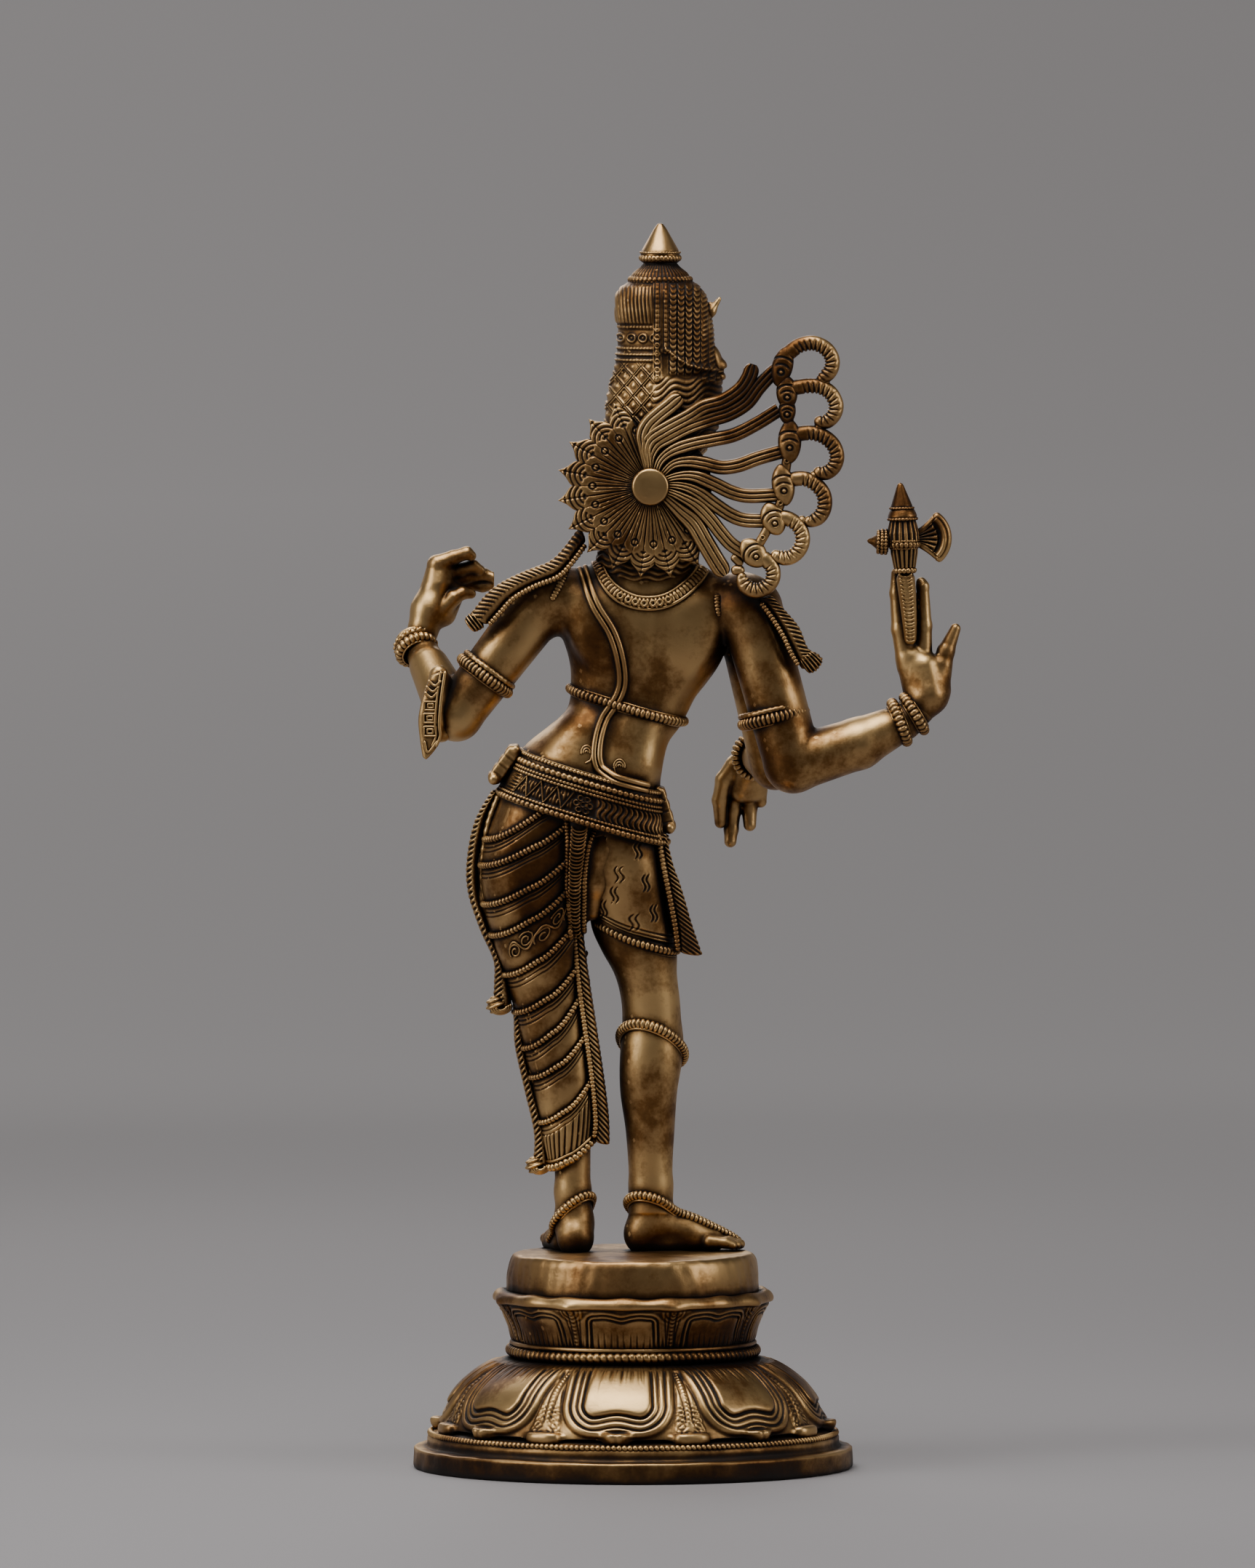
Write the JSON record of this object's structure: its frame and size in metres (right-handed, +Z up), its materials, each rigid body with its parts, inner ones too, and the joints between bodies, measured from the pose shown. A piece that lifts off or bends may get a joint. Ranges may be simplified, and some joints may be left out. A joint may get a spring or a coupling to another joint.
{
  "type": "standing figure statue",
  "caption": "Slender standing cast-brass figure, male right half and female left half, rosette halo behind a tall crown, on a round double lotus pedestal; free-standing ornament.",
  "frame": {"origin": "centre of the pedestal's flat underside ring", "axes": "+Z up, the figure faces -Y, its own left hand side is +X"},
  "size_m": [0.2004, 0.1572, 0.445],
  "materials": {
    "brass": "cast, dark antique patina with rubbed high spots"
  },
  "bodies": {
    "root": {"axe": "brass", "back_collar": "brass", "base_plate": "brass", "brow_band": "brass", "chest_band": "brass", "crescent": "brass", "crown": "brass", "elbow_drape": "brass", "finial": "brass", "front_bracelet": "brass", "front_forearm": "brass", "front_hand": "brass", "front_upper_arm": "brass", "girdle": "brass", "halo_boss": "brass", "halo_chain": "brass", "halo_disc": "brass", "halo_locks": "brass", "halo_loop_1": "brass", "halo_loop_2": "brass", "halo_loop_3": "brass", "halo_loop_4": "brass", "halo_loop_5": "brass", "halo_loop_6": "brass", "head": "brass", "inner_sash": "brass", "knee_ring": "brass", "left_ankle": "brass", "left_anklet": "brass", "left_armlet": "brass", "left_bracelet": "brass", "left_foot": "brass", "left_forearm": "brass", "left_hand": "brass", "left_tassel": "brass", "left_upper_arm": "brass", "lower_lotus": "brass", "nape_hair": "brass", "outer_sash": "brass", "plinth": "brass", "rear_armlet": "brass", "rear_bracelet": "brass", "rear_forearm": "brass", "rear_hand": "brass", "rear_panel": "brass", "rear_upper_arm": "brass", "right_anklet": "brass", "right_foot": "brass", "right_leg": "brass", "right_sash": "brass", "right_tassel": "brass", "right_thigh": "brass", "sacred_thread": "brass", "sari_skirt": "brass", "short_garment": "brass", "torso": "brass", "upper_lotus": "brass", "upper_step": "brass", "waist_rope": "brass"}
  },
  "joints": []
}
